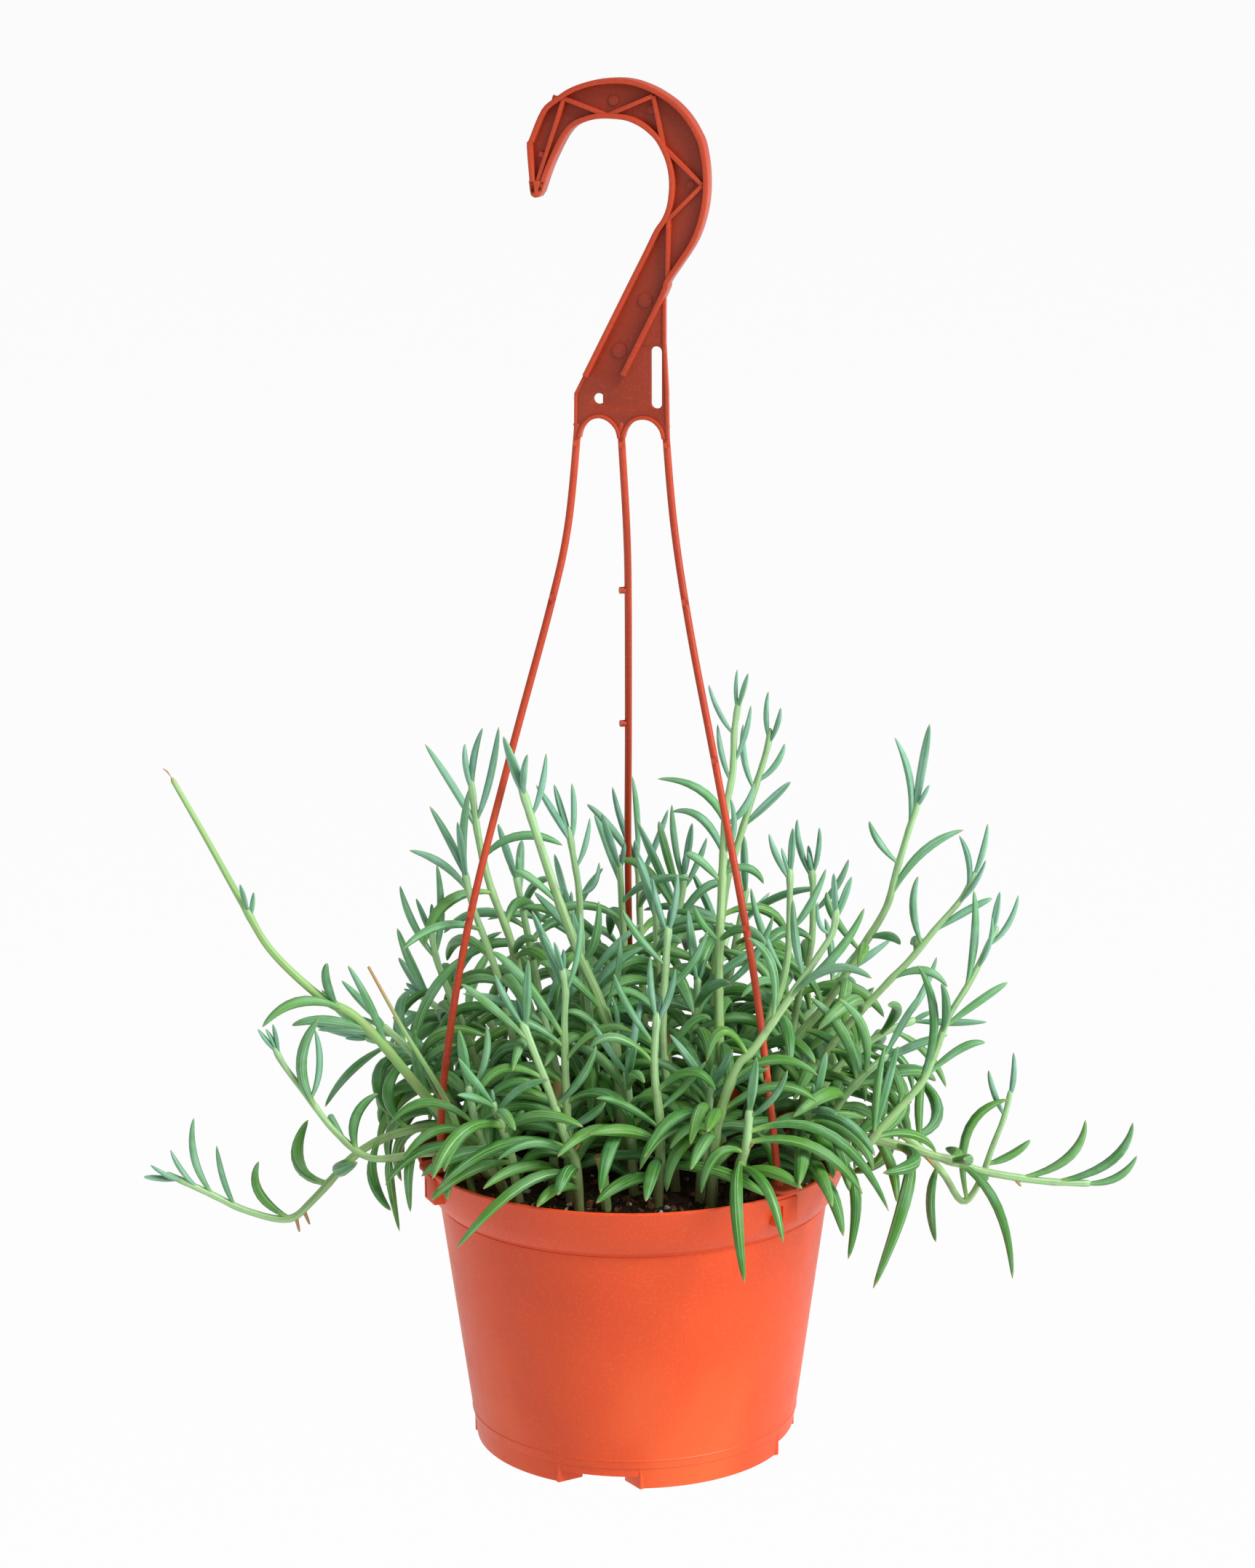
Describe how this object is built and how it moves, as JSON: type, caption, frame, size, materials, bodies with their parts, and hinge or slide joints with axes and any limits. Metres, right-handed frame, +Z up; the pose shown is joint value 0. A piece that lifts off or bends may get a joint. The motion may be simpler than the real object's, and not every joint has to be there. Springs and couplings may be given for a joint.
{
  "type": "potted string of fishhooks",
  "caption": "Trailing succulent with small curved spindle leaves, in a round plastic hanging pot with a moulded rod hanger and hook.",
  "frame": {"origin": "the inside of the hook's bend, at its highest point, on the hook's mid-plane: where the part hangs from", "axes": "+Z up; -Y towards the front, the side the hook's ribbed face shows on; +X to the right seen from the front, the side away from the hook's mouth"},
  "size_m": [0.3345, 0.2021, 0.4639],
  "materials": {
    "pot_plastic": "satin orange moulded polypropylene",
    "hanger_plastic": "satin brick-orange moulded polypropylene",
    "potting_mix": "matt, crumbly",
    "bark": "matt, rough",
    "succulent_leaf": "smooth, waxy bloom",
    "pale_stem": "smooth",
    "dry_stem": "matt, dry"
  },
  "bodies": {
    "root": {"pot": "pot_plastic", "soil": "potting_mix", "bark_chip_front": "bark", "bark_chip_left": "bark", "bark_chip_back": "bark", "flower_stalk_left": "pale_stem", "shoot_left_front_small": "succulent_leaf", "trailing_left": "succulent_leaf", "shoot_a": "succulent_leaf", "shoot_b": "succulent_leaf", "shoot_c": "succulent_leaf", "shoot_d": "succulent_leaf", "shoot_n": "succulent_leaf", "shoot_e": "succulent_leaf", "shoot_f": "succulent_leaf", "shoot_o": "succulent_leaf", "shoot_g": "succulent_leaf", "shoot_h": "succulent_leaf", "shoot_i": "succulent_leaf", "shoot_p": "succulent_leaf", "shoot_j": "succulent_leaf", "shoot_k": "succulent_leaf", "shoot_l": "succulent_leaf", "shoot_m": "succulent_leaf", "trailing_right": "succulent_leaf", "loop_right": "succulent_leaf", "front_right_rim": "succulent_leaf", "front_left_rim": "succulent_leaf", "front_middle": "succulent_leaf", "front_mid_left": "succulent_leaf", "pale_stem_front": "succulent_leaf", "cut_stem_1": "dry_stem", "cut_stem_2": "dry_stem", "cut_stem_3": "dry_stem", "dry_stalk": "dry_stem", "clump_shoot_01": "succulent_leaf", "clump_shoot_02": "succulent_leaf", "clump_shoot_03": "succulent_leaf", "clump_shoot_04": "succulent_leaf", "clump_shoot_05": "succulent_leaf", "clump_shoot_06": "succulent_leaf", "clump_shoot_07": "succulent_leaf", "clump_shoot_08": "succulent_leaf", "clump_shoot_09": "succulent_leaf", "clump_shoot_10": "succulent_leaf", "clump_shoot_11": "succulent_leaf", "clump_shoot_12": "succulent_leaf", "clump_shoot_13": "succulent_leaf", "clump_shoot_14": "succulent_leaf", "clump_shoot_15": "succulent_leaf", "clump_shoot_16": "succulent_leaf", "clump_shoot_17": "succulent_leaf", "clump_shoot_18": "succulent_leaf", "clump_shoot_19": "succulent_leaf", "clump_shoot_20": "succulent_leaf", "clump_shoot_21": "succulent_leaf", "clump_shoot_22": "succulent_leaf", "clump_shoot_23": "succulent_leaf", "hanger": "hanger_plastic"}
  },
  "joints": []
}
